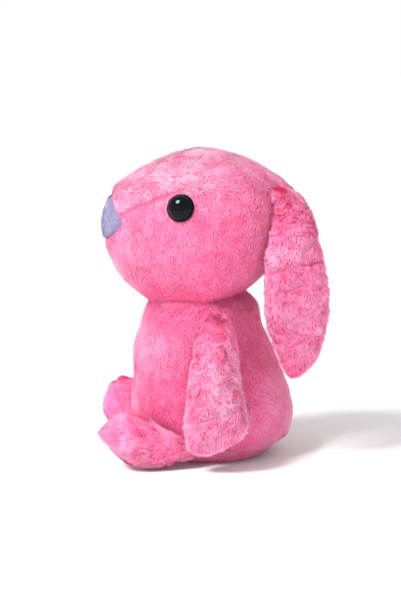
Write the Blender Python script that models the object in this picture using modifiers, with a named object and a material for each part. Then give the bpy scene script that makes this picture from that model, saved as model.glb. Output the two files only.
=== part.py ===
"""A sitting plush rabbit: sewn pile-fabric covers over polyester filling, safety eyes and lop ears.

It faces -Y, its left side is +X, and it rests on z = 0 with the origin under the middle of its base.
Every soft form is a smooth run of oval sections. A cover is the form's shell, cut into sewn panels.
"""
import math

import bmesh
import bpy
from mathutils import Vector

MM = 0.001
GAP = 0.3 * MM                # between pieces that touch
FABRIC = 1.2 * MM             # pile fabric's backing, pressed
FILL_INSET = 2.4 * MM         # from a cover's outside to the filling inside it
LIMB_INSET = 3.6 * MM         # the same in the thinner limbs
NODDING_ROOM = 1.5 * MM       # between the neck ball and the filling of the head

NECK_PIVOT = Vector((0, -7.5, 91)) * MM
NECK_RADIUS = 45 * MM
NECK_RIM_Z = 114.5 * MM       # where the torso's cover ends
NECK_WAD_Z = 97 * MM         # underside of the neck's own wad of filling
BASE_Z = 1.4 * MM             # thickness of the base panel
BASE_HALF_X = 36 * MM
BASE_HALF_Y = 38 * MM
BASE_Y = -1.5 * MM
PELLET_TOP_Z = 21 * MM

EYE_Y = -22.5 * MM
EYE_Z = 188 * MM
EYE_RADIUS = 10 * MM
EYE_RISE = 6.2 * MM
STEM_RADIUS = 2 * MM
STEM_LENGTH = 9 * MM
WASHER_RADIUS = 7 * MM
WASHER_THICKNESS = 1.6 * MM
WASHER_DEPTH = 3.6 * MM       # from the eye's back to the washer, past the fabric's curve

NOSE_HALF_WIDTH = 25.5 * MM
NOSE_CORNER_Z = 175 * MM
NOSE_ABOVE = 20 * MM
NOSE_BELOW = 15.6 * MM
NOSE_ROUNDNESS = (1.3, 1.1)  # exponents of its outline above and below the corners, 1 is an ellipse

ARM_HINGE = Vector((46, 3, 106)) * MM
EAR_HINGE = Vector((31, 52, 198)) * MM
LEG_HINGE = Vector((49, -24, 13.5)) * MM

# Exponents of the oval sections: 2 is an ellipse, and more is squarer.
HEAD_POWER = 2.25
TORSO_POWER = 2.1
LIMB_POWER = 2.15

HEAD_SEGMENTS = 20
TORSO_SEGMENTS = 20
LIMB_SEGMENTS = 12
SOCKET_SEGMENTS = 24
RINGS_PER_ROW = 1.4           # rings of a form for each row of its sections
ROUND_STEPS = 16              # sides of a turned piece
FAR = 0.4                     # reach of a half-space cutter

# Sections in millimetres: (place along the run, first centre, second centre, first half, second half)
# The head runs along Y, and its sections are given across X and Z.
HEAD = [
    (-82.8, 0, 172, 0, 0),
    (-79.5, 0, 171.8, 12, 14),
    (-72, 0, 169.3, 22.5, 29.3),
    (-61, 0, 167, 33, 40.8),
    (-46, 0, 166, 43.5, 50.3),
    (-25, 0, 168, 54, 57.5),
    (0, 0, 168.3, 59, 59),
    (25, 0, 171.5, 54, 48.7),
    (43, 0, 174, 40, 35.8),
    (55, 0, 178, 24, 22.8),
    (60, 0, 179, 0, 0),
]
# The torso runs along Z, and its sections are given across X and Y.
TORSO = [
    (-8, 0, 0, 0, 0),
    (1, 0, -1.5, 35, 37),
    (6.5, 0, -0.5, 44, 46),
    (14, 0, 0, 50, 54.8),
    (29, 0, -0.2, 53, 58.6),
    (46, 0, -0.8, 52.6, 58.2),
    (64, 0, -3, 50, 54.7),
    (81, 0, -6.6, 46.5, 50.6),
]
DOME_ANGLES = (6, 20, 34, 50, 70, 90)    # degrees above the neck pivot, on the neck ball
# The ear, arm and leg of the left side. Ears and arms run down Z, legs run forward along -Y.
EAR = [
    (200, 31, 52, 0, 0),
    (196, 33.7, 53, 4, 8.5),
    (186, 40.8, 56.7, 5.6, 13.6),
    (172, 45, 57.7, 6.4, 16.8),
    (151, 46.6, 58.4, 7, 21.4),
    (129, 46.5, 59.4, 7.2, 23.4),
    (111, 46, 59.8, 7, 23.4),
    (96, 46, 59, 6.6, 20.8),
    (82, 46, 59.6, 6, 16.2),
    (70, 46, 59, 4.6, 9.5),
    (63.5, 46, 58, 0, 0),
]
ARM = [
    (109.8, 46.5, 2.5, 0, 0),
    (106, 48.2, 2.4, 4.6, 11.4),
    (96, 52.6, 2.2, 7.4, 14.7),
    (84, 57, 1.6, 9, 17),
    (67, 62.6, 1.5, 10.8, 19.2),
    (50, 66.5, 2.4, 12, 21.8),
    (35, 67.2, 2.9, 12, 23),
    (24.5, 66.8, 0.4, 10.5, 19.8),
    (17, 66.3, -4.6, 7.5, 12.8),
    (13, 66, -6, 0, 0),
]
LEG_RIGHT = [
    (-22, 48.5, 13, 0, 0),
    (-30, 52, 14, 7.5, 10),
    (-43, 52.5, 17.2, 13, 16.6),
    (-55, 51.5, 22.2, 17.3, 21.5),
    (-66, 51, 24.4, 18, 23.3),
    (-76, 51, 23.8, 15.8, 19.4),
    (-82, 51, 22, 10, 11),
    (-84.5, 51, 21.8, 0, 0),
]
LEG_LEFT = [
    (-22, 50, 12.5, 0, 0),
    (-28, 52.3, 12.5, 6.2, 9),
    (-36, 53, 14.6, 10.8, 13.6),
    (-45, 52.8, 19.2, 14.5, 18.6),
    (-55, 52, 21.3, 17.3, 20.1),
    (-64, 52.3, 22.9, 17, 17.7),
    (-72, 53, 24.1, 14, 11.6),
    (-78, 53, 25.5, 8, 5),
    (-80.8, 53, 26.8, 0, 0),
]
# The seam between the crown and the cheeks, in Y and Z, from the nose back.
CROWN_SEAM = [(-95, 172), (-69, 179.3), (-50, 190.3), (-37, 196), (-22, 201), (5, 204), (70, 199)]

PINK = (0.93, 0.20, 0.43)
LILAC = (0.48, 0.42, 0.66)
BLACK = (0.006, 0.005, 0.008)
WHITE = (0.85, 0.85, 0.83)
CLEAR_GREY = (0.55, 0.55, 0.56)


def empty_the_scene():
    for item in list(bpy.data.objects):
        bpy.data.objects.remove(item, do_unlink=True)


def collection(name):
    group = bpy.data.collections.new(name)
    bpy.context.scene.collection.children.link(group)
    return group


def material(name, colour, roughness):
    made = bpy.data.materials.new(name)
    made.use_nodes = True
    shader = made.node_tree.nodes["Principled BSDF"]
    shader.inputs["Base Color"].default_value = (*colour, 1)
    shader.inputs["Roughness"].default_value = roughness
    shader.inputs["Metallic"].default_value = 0
    return made


def place(name, bm, group, origin=Vector()):
    """An object of the bmesh, which is in world coordinates, with its origin at the given point."""
    bmesh.ops.recalc_face_normals(bm, faces=bm.faces)
    if bm.calc_volume(signed=True) < 0:
        bmesh.ops.reverse_faces(bm, faces=bm.faces)
    bmesh.ops.translate(bm, verts=bm.verts, vec=-origin)
    mesh = bpy.data.meshes.new(name)
    bm.to_mesh(mesh)
    bm.free()
    mesh.shade_smooth()
    item = bpy.data.objects.new(name, mesh)
    item.location = origin
    group.objects.link(item)
    return item


def cutter(name, bm):
    item = place(name, bm, CUTTERS)
    item.hide_render = True
    item.display_type = "WIRE"
    return item


def cut(item, tool, operation="DIFFERENCE"):
    step = item.modifiers.new(f"{operation.lower()} {tool.name}", "BOOLEAN")
    step.operation = operation
    step.object = tool
    step.solver = "EXACT"


def section(rows, t):
    """The run's section at t, 0 at its first row and 1 at its last: a smooth curve with round ends."""
    last = len(rows) - 1
    span = min(int(t * last), last - 1)
    f = t * last - span
    start, end = rows[span], rows[span + 1]
    before = rows[span - 1] if span else beyond(start, end)
    after = rows[span + 2] if span + 1 < last else beyond(end, start)
    return [0.5 * (2 * b + (c - a) * f + (2 * a - 5 * b + 4 * c - d) * f ** 2
                   + (3 * b - a - 3 * c + d) * f ** 3)
            for a, b, c, d in zip(before, start, end, after)]


def beyond(end, inner):
    """The section past a closed end: the inner one seen through it."""
    place_along, first, second, half_1, half_2 = inner
    return (place_along, first, second, -half_1, -half_2)


def where(rows, place_along):
    """The t at which the run passes the place, found by halving."""
    rising = rows[-1][0] > rows[0][0]
    low, high = 0.0, 1.0
    while high - low > 1e-5:
        t = (low + high) / 2
        short = (section(rows, t)[0] < place_along) == rising
        low, high = (t, high) if short else (low, t)
    return low


def shrunk(rows, inset):
    """The rows of a form that lies inside by the inset, in millimetres."""
    middle = (rows[0][0] + rows[-1][0]) / 2
    reach = abs(rows[-1][0] - rows[0][0]) / 2
    inner = []
    for s, _, _, half_1, half_2 in rows:
        s = middle + (s - middle) * (1 - inset / reach)
        _, first, second, _, _ = section(rows, where(rows, s))
        inner.append((s, first, second, max(half_1 - inset, 0), max(half_2 - inset, 0)))
    return inner


def surface_point(rows, t, angle, run, power):
    s, first, second, half_1, half_2 = section(rows, t)
    c, d = math.cos(angle), math.sin(angle)
    a = first + half_1 * math.copysign(abs(c) ** (2 / power), c)
    b = second + half_2 * math.copysign(abs(d) ** (2 / power), d)
    return Vector((a, b, s) if run == "Z" else (a, s, b)) * MM


def form(rows, run, power, segments, side=1):
    """A closed form: a sphere whose rings become the run's sections."""
    bm = bmesh.new()
    rings = round(RINGS_PER_ROW * (len(rows) - 1))
    bmesh.ops.create_uvsphere(bm, u_segments=segments, v_segments=rings, radius=1)
    for vert in bm.verts:
        t = math.acos(max(-1, min(1, vert.co.z))) / math.pi
        angle = math.atan2(vert.co.y, vert.co.x)
        vert.co = surface_point(rows, t, angle, run, power)
        vert.co.x *= side
    return bm


def ball(centre, radius, segments):
    bm = bmesh.new()
    bmesh.ops.create_uvsphere(bm, u_segments=segments, v_segments=segments // 2, radius=radius)
    bmesh.ops.translate(bm, verts=bm.verts, vec=centre)
    return bm


def half_space(name, point, normal):
    """A cutter that fills everything on the side of the point that the normal looks to."""
    bm = bmesh.new()
    bmesh.ops.create_cube(bm, size=2 * FAR)
    bmesh.ops.translate(bm, verts=bm.verts, vec=(0, 0, FAR))
    turn = Vector(normal).to_track_quat("Z", "Y")
    bmesh.ops.rotate(bm, verts=bm.verts, cent=(0, 0, 0), matrix=turn.to_matrix())
    bmesh.ops.translate(bm, verts=bm.verts, vec=point)
    return cutter(name, bm)


def prism(name, outline, depth):
    """A cutter: the outline's points raised into a solid along the depth vector."""
    bm = bmesh.new()
    face = bm.faces.new([bm.verts.new(point) for point in outline])
    raised = bmesh.ops.extrude_face_region(bm, geom=[face])
    moved = [part for part in raised["geom"] if isinstance(part, bmesh.types.BMVert)]
    bmesh.ops.translate(bm, verts=moved, vec=depth)
    return cutter(name, bm)


def shell(name, bm, paint, origin=Vector()):
    """A cover: the form hollowed to the fabric's thickness. Its cuts open it."""
    item = place(name, bm, PARTS, origin)
    wall = item.modifiers.new("fabric", "SOLIDIFY")
    wall.thickness = FABRIC
    wall.offset = -1
    item.data.materials.append(paint)
    return item


def solid(name, bm, paint, origin=Vector()):
    item = place(name, bm, PARTS, origin)
    item.data.materials.append(paint)
    return item


def middle_surface(name, rows, side, outward, gap):
    """A cutter that fills the outer or the inner side of a limb's curved middle surface."""
    steps = round(RINGS_PER_ROW * (len(rows) - 1))
    reach = side * (FAR if outward else -FAR)
    shift = side * (gap if outward else -gap)
    line = []
    for i in range(steps + 1):
        s, first = section(rows, i / steps)[:2]
        line.append(Vector((side * first * MM + shift, -FAR, s * MM)))
    top = line[0] + Vector((0, 0, FAR / 2))
    bottom = line[-1] - Vector((0, 0, FAR / 2))
    outline = [top, *line, bottom, bottom + Vector((reach, 0, 0)), top + Vector((reach, 0, 0))]
    return prism(name, outline, (0, 2 * FAR, 0))


def torso_rows():
    """The torso's sections, with its shoulders on the neck ball."""
    centre_y, centre_z = NECK_PIVOT.y / MM, NECK_PIVOT.z / MM
    radius = NECK_RADIUS / MM
    dome = []
    for degrees in DOME_ANGLES:
        a = math.radians(degrees)
        half = radius * math.cos(a) if degrees < 90 else 0
        dome.append((centre_z + radius * math.sin(a), 0, centre_y, half, half))
    return TORSO + dome


def on_head(y, z):
    """The point of the head's left surface at y and z, and the outward direction there."""
    t = where(HEAD, y / MM)
    _, _, centre_z, _, half_height = section(HEAD, t)
    angle = math.asin(((z / MM - centre_z) / half_height) ** (HEAD_POWER / 2))
    step = 0.01
    here = surface_point(HEAD, t, angle, "Y", HEAD_POWER)
    along = surface_point(HEAD, t + step, angle, "Y", HEAD_POWER) - here
    up = surface_point(HEAD, t, angle + step, "Y", HEAD_POWER) - here
    return here, along.cross(up).normalized()


def turned(name, profile, point, direction, paint, closed=False):
    """A round piece: the profile of (radius, height) pairs turned about the direction."""
    bm = bmesh.new()
    verts = [bm.verts.new((radius, 0, height)) for radius, height in profile]
    ends = verts[1:] + verts[:1] if closed else verts[1:]
    for first, second in zip(verts, ends):
        bm.edges.new((first, second))
    mesh = bpy.data.meshes.new(name)
    bm.to_mesh(mesh)
    bm.free()
    item = bpy.data.objects.new(name, mesh)
    item.location = point
    item.rotation_mode = "QUATERNION"
    item.rotation_quaternion = direction.to_track_quat("Z", "Y")
    turn = item.modifiers.new("turn", "SCREW")
    turn.steps = turn.render_steps = ROUND_STEPS
    turn.use_merge_vertices = True
    turn.merge_threshold = 0.01 * MM
    turn.use_smooth_shade = True
    item.data.materials.append(paint)
    PARTS.objects.link(item)
    return item


def make_torso():
    rows = torso_rows()
    base = half_space("cut above base", (0, 0, BASE_Z + GAP), (0, 0, 1))
    rim = half_space("cut neck rim", (0, 0, NECK_RIM_Z), (0, 0, 1))
    for name, side in (("torso_left_panel", 1), ("torso_right_panel", -1)):
        panel = shell(name, form(rows, "Z", TORSO_POWER, TORSO_SEGMENTS), PILE)
        cut(panel, half_space(f"cut {name}", (side * GAP / 2, 0, 0), (side, 0, 0)), "INTERSECT")
        cut(panel, base, "INTERSECT")
        cut(panel, rim)
    bm = bmesh.new()
    bmesh.ops.create_cone(bm, cap_ends=True, segments=TORSO_SEGMENTS, radius1=1, radius2=1, depth=1)
    bmesh.ops.scale(bm, verts=bm.verts, vec=(BASE_HALF_X, BASE_HALF_Y, BASE_Z))
    bmesh.ops.translate(bm, verts=bm.verts, vec=(0, BASE_Y, BASE_Z / 2))
    solid("base_panel", bm, PILE)
    inner = shrunk(rows, FILL_INSET / MM)
    pellet_top = half_space("cut pellets", (0, 0, PELLET_TOP_Z), (0, 0, 1))
    fill_bottom = half_space("cut filling", (0, 0, PELLET_TOP_Z + GAP), (0, 0, 1))
    wad_bottom = half_space("cut neck wad", (0, 0, NECK_WAD_Z), (0, 0, 1))
    fill_top = half_space("cut filling top", (0, 0, NECK_WAD_Z - GAP), (0, 0, 1))
    inside_base = half_space("cut inside base", (0, 0, BASE_Z + 2 * GAP), (0, 0, 1))
    pellets = solid("pellet_bag", form(inner, "Z", TORSO_POWER, TORSO_SEGMENTS), LINING)
    cut(pellets, inside_base, "INTERSECT")
    cut(pellets, pellet_top)
    fill = solid("torso_fibrefill", form(inner, "Z", TORSO_POWER, TORSO_SEGMENTS), FIBRE)
    cut(fill, fill_bottom, "INTERSECT")
    cut(fill, fill_top)
    wad = ball(NECK_PIVOT, NECK_RADIUS - FILL_INSET, SOCKET_SEGMENTS)
    cut(solid("neck_fibrefill", wad, FIBRE, NECK_PIVOT), wad_bottom, "INTERSECT")


def nose_outline(grow):
    """A rounded diamond in front of the snout, wider by grow all round."""
    points = []
    count = 20
    for i in range(count):
        a = 2 * math.pi * i / count
        c, s = math.cos(a), math.sin(a)
        height = NOSE_ABOVE if s > 0 else NOSE_BELOW
        roundness = NOSE_ROUNDNESS[0] if s > 0 else NOSE_ROUNDNESS[1]
        x = (NOSE_HALF_WIDTH + grow) * math.copysign(abs(c) ** roundness, c)
        z = NOSE_CORNER_Z + (height + grow) * math.copysign(abs(s) ** roundness, s)
        points.append(Vector((x, -110 * MM, z)))
    return points


def crown_side(name, above, gap):
    """A cutter that fills the head's part above, or below, the seam over the eyes."""
    shift = gap if above else -gap
    line = [Vector((-FAR, y * MM, z * MM + shift)) for y, z in CROWN_SEAM]
    end = Vector((0, 0, FAR if above else -FAR))
    return prism(name, [*line, line[-1] + end, line[0] + end], (2 * FAR, 0, 0))


def make_head():
    socket_radius = (NECK_RADIUS + GAP) / math.cos(math.pi / SOCKET_SEGMENTS) ** 2
    socket = cutter("cut socket", ball(NECK_PIVOT, socket_radius, SOCKET_SEGMENTS))
    fill_socket_radius = NECK_RADIUS + NODDING_ROOM
    fill_socket = cutter("cut fill socket", ball(NECK_PIVOT, fill_socket_radius, SOCKET_SEGMENTS))
    above = crown_side("cut crown", True, GAP / 2)
    below = crown_side("cut cheeks", False, GAP / 2)
    nose = prism("cut nose", nose_outline(0), (0, 80 * MM, 0))
    around_nose = prism("cut around nose", nose_outline(GAP), (0, 80 * MM, 0))
    crown = shell("head_crown_panel", form(HEAD, "Y", HEAD_POWER, HEAD_SEGMENTS), PILE, NECK_PIVOT)
    cut(crown, above, "INTERSECT")
    cut(crown, around_nose)
    patch = shell("nose_patch", form(HEAD, "Y", HEAD_POWER, HEAD_SEGMENTS), LILAC_PILE, NECK_PIVOT)
    cut(patch, nose, "INTERSECT")
    fill = solid("head_fibrefill", form(shrunk(HEAD, FILL_INSET / MM), "Y", HEAD_POWER, HEAD_SEGMENTS),
                 FIBRE, NECK_PIVOT)
    cut(fill, fill_socket)
    for word, side in (("left", 1), ("right", -1)):
        cheek = shell(f"head_{word}_panel", form(HEAD, "Y", HEAD_POWER, HEAD_SEGMENTS), PILE,
                      NECK_PIVOT)
        cut(cheek, half_space(f"cut {word} cheek", (side * GAP / 2, 0, 0), (side, 0, 0)), "INTERSECT")
        cut(cheek, below, "INTERSECT")
        cut(cheek, around_nose)
        cut(cheek, socket)
        make_eye(word, side, cheek, fill)


def make_eye(word, side, cheek, fill):
    point, direction = on_head(EYE_Y, EYE_Z)
    point.x *= side
    direction.x *= side
    dome = []
    steps = 5
    for i in range(steps + 1):
        a = math.radians(90 - 90 * i / steps)
        dome.append((EYE_RADIUS * math.cos(a), 1.2 * MM + (EYE_RISE - 1.2 * MM) * math.sin(a)))
    profile = [*dome, (EYE_RADIUS, 0), (STEM_RADIUS, 0), (STEM_RADIUS, -STEM_LENGTH), (0, -STEM_LENGTH)]
    seat = point + direction * GAP
    turned(f"eye_{word}", profile, seat, direction, EYE_BLACK)
    hole = STEM_RADIUS + GAP
    under = -WASHER_DEPTH
    washer = [(hole, under), (WASHER_RADIUS, under), (WASHER_RADIUS, under - WASHER_THICKNESS),
              (hole, under - WASHER_THICKNESS)]
    turned(f"eye_washer_{word}", washer, seat, direction, WASHER_PLASTIC, closed=True)
    cut(cheek, drill(f"cut {word} stem", seat, direction, hole, 2 * STEM_LENGTH))
    pocket_depth = 2 * (STEM_LENGTH + 2 * GAP)
    cut(fill, drill(f"cut {word} pocket", seat, direction, WASHER_RADIUS + 2 * GAP, pocket_depth))


def drill(name, point, direction, radius, length):
    """A round cutter along the direction, centred on the point."""
    bm = bmesh.new()
    bmesh.ops.create_cone(bm, cap_ends=True, segments=ROUND_STEPS, radius1=radius, radius2=radius,
                          depth=length)
    turn = direction.to_track_quat("Z", "Y").to_matrix()
    bmesh.ops.rotate(bm, verts=bm.verts, cent=(0, 0, 0), matrix=turn)
    bmesh.ops.translate(bm, verts=bm.verts, vec=point)
    return cutter(name, bm)


def make_hanging_limb(kind, rows, hinge):
    """An ear or an arm on each side: an outer and an inner panel, seamed round its edge, over filling."""
    for word, side in (("left", 1), ("right", -1)):
        origin = Vector((side * hinge.x, hinge.y, hinge.z))
        for panel_word, outward in (("outer", True), ("inner", False)):
            name = f"{kind}_{word}_{panel_word}_panel"
            panel = shell(name, form(rows, "Z", LIMB_POWER, LIMB_SEGMENTS, side), PILE, origin)
            cut(panel, middle_surface(f"cut {name}", rows, side, outward, GAP / 2), "INTERSECT")
        inner = shrunk(rows, LIMB_INSET / MM)
        solid(f"{kind}_{word}_filling", form(inner, "Z", LIMB_POWER, LIMB_SEGMENTS, side), FIBRE, origin)


def make_leg(word, side, rows, sole_point, sole_normal):
    """A leg with its foot: an upper panel and a sole panel over filling."""
    origin = Vector((side * LEG_HINGE.x, LEG_HINGE.y, LEG_HINGE.z))
    normal = Vector(sole_normal).normalized()
    point = Vector(sole_point) * MM
    sole_side = half_space(f"cut {word} sole", point + normal * GAP / 2, normal)
    upper_side = half_space(f"cut {word} upper", point - normal * GAP / 2, -normal)
    upper = shell(f"leg_{word}_upper", form(rows, "Y", LIMB_POWER, LIMB_SEGMENTS, side), PILE, origin)
    cut(upper, upper_side, "INTERSECT")
    sole = shell(f"leg_{word}_sole", form(rows, "Y", LIMB_POWER, LIMB_SEGMENTS, side), PILE, origin)
    cut(sole, sole_side, "INTERSECT")
    inner = shrunk(rows, LIMB_INSET / MM)
    solid(f"leg_{word}_filling", form(inner, "Y", LIMB_POWER, LIMB_SEGMENTS, side), FIBRE, origin)



empty_the_scene()
PARTS = collection("plush_rabbit")
CUTTERS = collection("cutters")
PILE = material("pink pile fabric", PINK, 0.9)
LILAC_PILE = material("lilac pile fabric", LILAC, 0.85)
EYE_BLACK = material("black gloss plastic", BLACK, 0.06)
WASHER_PLASTIC = material("washer plastic", CLEAR_GREY, 0.4)
FIBRE = material("polyester fibre", WHITE, 0.95)
LINING = material("pellet bag cotton", WHITE, 0.85)

make_torso()
make_head()
make_hanging_limb("ear", EAR, EAR_HINGE)
make_hanging_limb("arm", ARM, ARM_HINGE)
make_leg("left", 1, LEG_LEFT, (53, -72, 15), (0, -0.56, -0.83))
make_leg("right", -1, LEG_RIGHT, (-51, -66, 23), (0, -0.93, -0.37))
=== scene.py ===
"""The sitting plush rabbit's looks: pile fabric skins and their pile, domed eyes, floor, light and camera."""
import itertools
import math

import bmesh
import bpy
import numpy as np
from mathutils import Matrix, Vector


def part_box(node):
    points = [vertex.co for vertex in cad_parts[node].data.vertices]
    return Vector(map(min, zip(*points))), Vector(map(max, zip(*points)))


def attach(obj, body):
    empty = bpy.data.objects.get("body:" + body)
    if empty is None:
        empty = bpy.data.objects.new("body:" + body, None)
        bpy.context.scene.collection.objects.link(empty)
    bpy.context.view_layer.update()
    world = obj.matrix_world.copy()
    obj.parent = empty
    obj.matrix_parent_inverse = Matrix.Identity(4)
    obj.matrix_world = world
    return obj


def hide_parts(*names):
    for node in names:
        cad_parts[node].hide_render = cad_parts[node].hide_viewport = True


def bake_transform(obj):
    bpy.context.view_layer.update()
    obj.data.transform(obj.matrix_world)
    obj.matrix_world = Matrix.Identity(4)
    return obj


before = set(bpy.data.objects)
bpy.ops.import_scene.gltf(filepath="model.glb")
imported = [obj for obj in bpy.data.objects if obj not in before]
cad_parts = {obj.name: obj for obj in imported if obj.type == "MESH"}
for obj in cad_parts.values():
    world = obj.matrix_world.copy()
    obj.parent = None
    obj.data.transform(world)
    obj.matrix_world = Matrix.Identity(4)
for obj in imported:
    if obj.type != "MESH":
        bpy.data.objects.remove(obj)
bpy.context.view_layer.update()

MM = 0.001
NECK_PIVOT = np.array((0, -7.5, 91)) * MM
NECK_RADIUS = 45 * MM
NECK_RIM = 39 * MM
NECK_RIM_Z = 115 * MM
EAR_HINGE = Vector((31, 52, 198)) * MM
ARM_HINGE = Vector((46, 3, 106)) * MM
LEG_HINGE = Vector((49, -24, 13.5)) * MM
SIDES = (("left", 1), ("right", -1))
EYE_Y = -22.5 * MM
EYE_Z = 188 * MM
EYE_RADIUS = 10 * MM
EYE_DOME_HEIGHT = 5.2 * MM
EYE_FLANGE_HEIGHT = 0.9 * MM
EYE_DEPTH = 2.6 * MM           # how far the flange's underside lies under the head's cover

# The panels of each skin
CROWN, LEFT_CHEEK, RIGHT_CHEEK, NOSE = range(4)
LEFT, RIGHT = range(2)
OUTER, INNER = range(2)
SOLE, UPPER = range(2)

# Squareness of the sections: 2 is an ellipse
HEAD_POWER = 2.25
TORSO_POWER = 2.1
LIMB_POWER = 2.15

# Sections in millimetres: (place along the run, first centre, second centre, first half, second half)
HEAD = [
    (-82.8, 0, 172, 0, 0),
    (-79.5, 0, 171.8, 12, 14),
    (-72, 0, 169.3, 22.5, 29.3),
    (-61, 0, 167, 33, 40.8),
    (-46, 0, 166, 43.5, 50.3),
    (-25, 0, 168, 54, 57.5),
    (0, 0, 168.3, 59, 59),
    (25, 0, 171.5, 54, 48.7),
    (43, 0, 174, 40, 35.8),
    (55, 0, 178, 24, 22.8),
    (60, 0, 179, 0, 0),
]
TORSO = [
    (-8, 0, 0, 0, 0),
    (1, 0, -1.5, 35, 37),
    (6.5, 0, -0.5, 44, 46),
    (14, 0, 0, 50, 54.8),
    (29, 0, -0.2, 53, 58.6),
    (46, 0, -0.8, 52.6, 58.2),
    (64, 0, -3, 50, 54.7),
    (81, 0, -6.6, 46.5, 50.6),
]
DOME_ANGLES = (6, 20, 34, 50, 70, 90)
EAR = [
    (202.5, 17, 43, 0, 0),
    (200, 23, 46, 6, 7.4),
    (195, 32, 51.6, 5.6, 9.6),
    (185, 40.6, 56.2, 6, 13.6),
    (172, 45, 57.7, 6.4, 16.8),
    (151, 46.6, 58.4, 7, 21.4),
    (129, 46.5, 59.8, 7.2, 23.8),
    (111, 46, 60.4, 7, 23.9),
    (96, 46, 60.2, 6.6, 20.8),
    (82, 46, 60.6, 6, 16.3),
    (73, 46, 59.6, 5, 11.6),
    (67, 46, 58.4, 3.6, 7),
    (63.5, 46, 57.6, 0, 0),
]
ARM = [
    (111.5, 35.5, 1.5, 0, 0),
    (110.2, 39.5, 1.8, 4.6, 7),
    (106, 47.6, 2.4, 5.4, 11.4),
    (96, 52.6, 2.2, 7.4, 14.7),
    (84, 57, 1.6, 9, 17),
    (67, 62.6, 1.5, 10.8, 19.2),
    (50, 66.5, 2.4, 12, 21.8),
    (35, 67.2, 2.9, 12, 23),
    (24.5, 66.8, 0.4, 10.5, 19.8),
    (17, 66.3, -4.6, 7.5, 12.8),
    (13, 66, -6, 0, 0),
]
LEG_RIGHT = [
    (-6, 46, 11, 0, 0),
    (-10, 47, 11.5, 5, 4.5),
    (-19, 50, 12.5, 8, 7.6),
    (-30, 52, 14.5, 10, 11.5),
    (-43, 52.5, 17.2, 13, 16.6),
    (-55, 51.5, 22.2, 17.3, 21.5),
    (-66, 51, 24.4, 18, 23.3),
    (-76, 51, 23.8, 15.8, 19.4),
    (-82, 51, 22, 10, 11),
    (-84.5, 51, 21.8, 0, 0),
]
LEG_LEFT = [
    (-6, 46, 11, 0, 0),
    (-10, 47, 11.5, 5, 4.5),
    (-19, 50, 12.5, 8, 7.6),
    (-28, 52.3, 14, 9.5, 11),
    (-36, 53, 15.4, 11.8, 13.8),
    (-45, 52.8, 19.2, 14.5, 18.6),
    (-55, 52, 21.3, 17.3, 20.1),
    (-64, 52.3, 22.9, 17, 17.7),
    (-72, 53, 24.1, 14, 11.6),
    (-78, 53, 25.5, 8, 5),
    (-80.8, 53, 26.8, 0, 0),
]
CROWN_SEAM = [(-95, 172), (-69, 179.3), (-50, 190.3), (-37, 196), (-22, 201), (5, 204), (70, 199)]
NOSE_HALF_WIDTH = 27.5 * MM
NOSE_CORNER_Z = 175 * MM
NOSE_ABOVE = 20 * MM
NOSE_BELOW = 15.6 * MM
NOSE_ROUNDNESS = (1.3, 1.1)    # of its upper and lower edges: 1 is an ellipse, 2 a diamond
NOSE_FRONT = -55 * MM          # the patch lies in front of this

PILE_DEPTH = 1.7 * MM          # how far the skin lies under the pile's outer surface
LIMB_PILE_DEPTH = 1.9 * MM
SKIN_STEP = 1.7 * MM           # quads of the large skins
LIMB_STEP = 1.3 * MM           # quads of the small ones
FABRIC = 1.0 * MM
TORSO_CUT = (1.7, 129)         # the torso's skin lies between these heights, in millimetres
TORSO_HEM = 5 * MM             # it is held below this and above the next
TORSO_RIM = 112 * MM
TORSO_BARE = 123 * MM          # and has little pile above this, inside the head
LIMB_BEND = (3 * MM, 9 * MM)   # the ears' and arms' bend span, from this far over the hinge to this far under it; it is passed along but bends nothing
LEG_BEND = (2 * MM, 10 * MM)   # and the legs' span, from behind the hinge to in front of it, passed along in the same way
RIGHT_EAR_BACK = 4             # how far the right ear hangs behind the left one, in millimetres
RIGHT_EAR_FALL = (200, 30)     # from which height it starts to, and over what height

# For each skin: how much larger than its form it is cut, and how far it may move while it settles
HEAD_PLAY = (0.006, 0.6 * MM)
TORSO_PLAY = (0.02, 1.4 * MM)
EAR_PLAY = (0.07, 2.4 * MM)
ARM_PLAY = (0.025, 1.4 * MM)
LEG_PLAY = (0.04, 1.6 * MM)
CLOTH_FRAMES = 14
HOLD_LEVELS = 10
CLOTH = {"quality": 4, "mass": 0.02, "air_damping": 1, "tension_stiffness": 15, "compression_stiffness": 15,
         "shear_stiffness": 8, "bending_stiffness": 0.05, "tension_damping": 3, "compression_damping": 3,
         "shear_damping": 3, "use_pressure": True, "uniform_pressure_force": 5}

# Wads of filling: gap to the CAD shape, depth of the lumps, their size
LARGE_WAD = (3.5 * MM, 1.5 * MM, 14 * MM)
SMALL_WAD = (0.8 * MM, 0.8 * MM, 8 * MM)
PELLETS = (2.5 * MM, 1.2 * MM, 4 * MM)

STRANDS_PER_MM2 = 3.0
STRAND_UV_HEIGHTS = (0, 0, 0.55, 0.55, 1.0)
LENGTH_BY_TUFT = 0.22
LENGTH_SPREAD = 0.16
LEAN_SPREAD = 0.12
LEAN_LIMITS = (0.1, 1.35)
SEWN_WIDTH = 2.2 * MM          # the pile is shorter this near a seam
SEWN_SHORTER = 0.45
TONE_SPREAD = 0.08
TONE_BLOTCH = (0.15, 22 * MM)  # strength and size

FLOOR_SIZE = 30
FLOOR_DROP = 0.4 * MM
BACKDROP_RADIUS = 12
BACKDROP_HEIGHT = 5
WORLD_STRENGTH = 0.78
KEY_TOWARDS = (0.50, -0.62, 0.85)
KEY_STRENGTH = 4.5
KEY_ANGLE = 20
LENS = 100
SENSOR = 36
VIEW_HEIGHT = 0.4447           # what the picture's height takes in at the object
VIEW_ELEVATION = math.radians(9)
VIEW_TARGET = Vector((0, -8.5, 114)) * MM


# Smooth runs of sections, as arrays

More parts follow.
